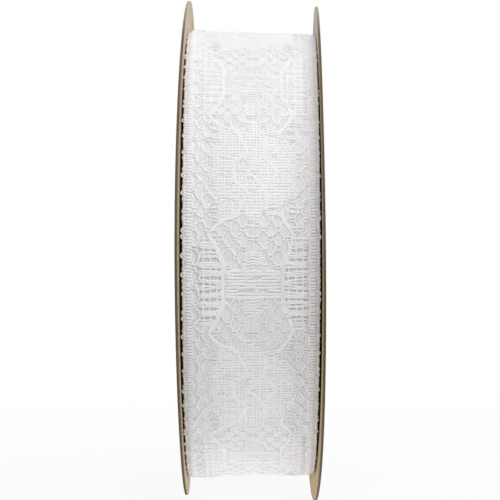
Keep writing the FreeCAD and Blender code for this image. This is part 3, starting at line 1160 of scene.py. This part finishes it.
# Tapes
# Thin clear tape: one piece holds the ribbon's first turn on the core, inside the roll, and one
# holds the free end down, its ends cut by a toothed blade.
TAPE_HALF = 10.0
TAPE_FILM = 0.06
TAPE_LIFT = 0.36
TAPE_TEETH = 14
TOOTH = 0.35
TAPE_ROWS = 64
TAPE_STEP = 1.7
TAPE_REACH = math.degrees(8 / ROLL_TOP)
free_edge = TAIL_END + 360
tape_start = free_edge + TAPE_REACH
tape_stop = free_edge - TAPE_STEP - TAPE_REACH


def make_end_tape():
    """A strip laid over the free end's edge and down on to the outer turn, then thickened."""
    bpy.ops.mesh.primitive_grid_add(x_subdivisions=2 * TAPE_TEETH, y_subdivisions=TAPE_ROWS, size=2)
    tape = start_mesh("end_tape_film")

    def lay(places):
        x = places[:, 0] * TAPE_HALF
        part = (places[:, 1] + 1) / 2
        tooth = np.round((places[:, 0] + 1) * TAPE_TEETH) % 2
        toothed = np.where(part < 0.001, TOOTH * tooth, 0) - np.where(part > 0.999, TOOTH * tooth, 0)
        angle = tape_start + (tape_stop - tape_start) * part - toothed
        on_tail = roll_radius(angle - 360, x)
        on_roll = roll_radius(angle, x)
        step = np.clip((free_edge - angle) / TAPE_STEP, 0, 1)
        ease = step * step * (3 - 2 * step)
        radius = on_tail + (on_roll - on_tail) * ease + TAPE_LIFT
        return round_axis(x, angle, radius)

    move_points(tape, lay)
    bpy.ops.object.mode_set(mode="EDIT")
    bpy.ops.mesh.select_all(action="SELECT")
    bpy.ops.mesh.normals_make_consistent(inside=False)
    bpy.ops.object.mode_set(mode="OBJECT")
    film = tape.modifiers.new("film", "SOLIDIFY")
    film.thickness = TAPE_FILM * MM
    bpy.ops.object.modifier_apply(modifier="film")
    bpy.ops.object.shade_smooth_by_angle(angle=math.radians(40))
    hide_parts("end_tape")
    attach(tape, "ribbon_end")
    return tape


end_tape = make_end_tape()


def make_tape_material():
    """Clear glossy film, a little hazy where its glue has not taken everywhere."""
    material, tree, shader = new_material("clear_tape", 0.18)
    haze = add_noise(tree, add_place(tree), 300, detail=4)
    tone = add_ramp(tree, haze, ((0.35, (226, 224, 214)), (0.65, (244, 243, 238))))
    tree.links.new(add_range(tree, haze, 0.3, 0.7, 0.18, 0.4), shader.inputs["Alpha"])
    set_surface(tree, shader, tone, haze, 0.05 * MM)
    return material


tape_material = make_tape_material()
end_tape.data.materials.append(tape_material)
start_tape = frame["nodes"]["start_tape"]
start_tape.data.materials.clear()
start_tape.data.materials.append(tape_material)

# Stage, light and camera
# A white floor that glows a little, a white background and soft light from above, seen square on.
FLOOR_Z = cad_low[2] - DISC_SLIP * MM
CAMERA_PLACE = (-0.26 * MM, -0.437, 0.17 * MM)
FRAME_PIXELS = 500
FOCAL_PIXELS = 1912
SENSOR = 36
FLOOR_GLOW = 1.3
FAR_GLOW = 0.0
GLOW_REACH = (0.02, 0.095)
SHADOW_SHARE = 0.10
SHADOW_REACH = (0.08, 0.35)
AMBIENT = 0.3

bpy.ops.mesh.primitive_plane_add(size=6, location=(0, 0, FLOOR_Z))
floor = start_mesh("floor")


def seen_directly(tree):
    """1 where the camera, gloss or glass sees the surface, and 0 where it only lights the spool."""
    path = add_node(tree, "LightPath", {}).outputs
    seen = path["Is Camera Ray"]
    for kind in ("Is Glossy Ray", "Is Transmission Ray"):
        seen = add_math(tree, "MAXIMUM", seen, path[kind])
    return seen


def mix_shaders(tree, factor, first, second):
    """Goes from one shader to another."""
    return add_node(tree, "MixShader", {"Fac": factor, 1: first, 2: second}).outputs["Shader"]


def make_floor_material():
    """White, with the spool's shadow close by fading to plain white further off."""
    material, tree, shader = new_material("white_floor", 0.9)
    shader.inputs["Base Color"].default_value = (0.9, 0.9, 0.9, 1)
    matte = shader.outputs["BSDF"]
    white = add_node(tree, "Emission", {"Strength": 1.0}).outputs["Emission"]
    reach = add_node(tree, "VectorMath", {0: add_place(tree)}, operation="LENGTH").outputs["Value"]
    eased_off = {"interpolation_type": "SMOOTHSTEP"}
    level = add_range(tree, reach, *GLOW_REACH, FLOOR_GLOW, FAR_GLOW, **eased_off)
    glow = add_node(tree, "Emission", {"Strength": level}).outputs["Emission"]
    lit = add_node(tree, "AddShader", {0: matte, 1: glow}).outputs["Shader"]
    lightening = add_range(tree, reach, *SHADOW_REACH, 1 - SHADOW_SHARE, 1.0, **eased_off)
    seen_floor = mix_shaders(tree, lightening, matte, white)
    surface = mix_shaders(tree, seen_directly(tree), lit, seen_floor)
    tree.links.new(surface, tree.nodes["Material Output"].inputs["Surface"])
    return material


floor.data.materials.append(make_floor_material())

world = bpy.data.worlds.new("studio")
bpy.context.scene.world = world
world.use_nodes = True
sky = world.node_tree
ambient = sky.nodes["Background"]
ambient.inputs["Color"].default_value = (0.985, 0.99, 1.0, 1)
ambient.inputs["Strength"].default_value = AMBIENT
backdrop = add_node(sky, "Background", {"Color": (1, 1, 1, 1), "Strength": 1.0})
shown = mix_shaders(sky, seen_directly(sky), ambient.outputs["Background"], backdrop.outputs["Background"])
sky.links.new(shown, sky.nodes["World Output"].inputs["Surface"])


def add_softbox(name, place, power, width):
    """A square lamp at a place, facing the spool."""
    light = bpy.data.lights.new(name, "AREA")
    light.energy = power
    light.size = width
    lamp = bpy.data.objects.new(name, light)
    bpy.context.collection.objects.link(lamp)
    lamp.location = place
    lamp.rotation_euler = lamp.location.to_track_quat("Z", "Y").to_euler()


add_softbox("top_softbox", (0.15, -0.25, 1.0), 6.6, 0.9)
add_softbox("front_softbox", (0.1, -0.85, 0.75), 4.15, 0.8)

camera_data = bpy.data.cameras.new("camera")
camera_data.sensor_width = SENSOR
camera_data.lens = FOCAL_PIXELS / FRAME_PIXELS * SENSOR
camera_data.clip_start = 0.01
camera = bpy.data.objects.new("camera", camera_data)
bpy.context.collection.objects.link(camera)
camera.location = CAMERA_PLACE
camera.rotation_euler = (math.pi / 2, 0, 0)
bpy.context.scene.camera = camera
bpy.context.scene.view_settings.view_transform = "Standard"
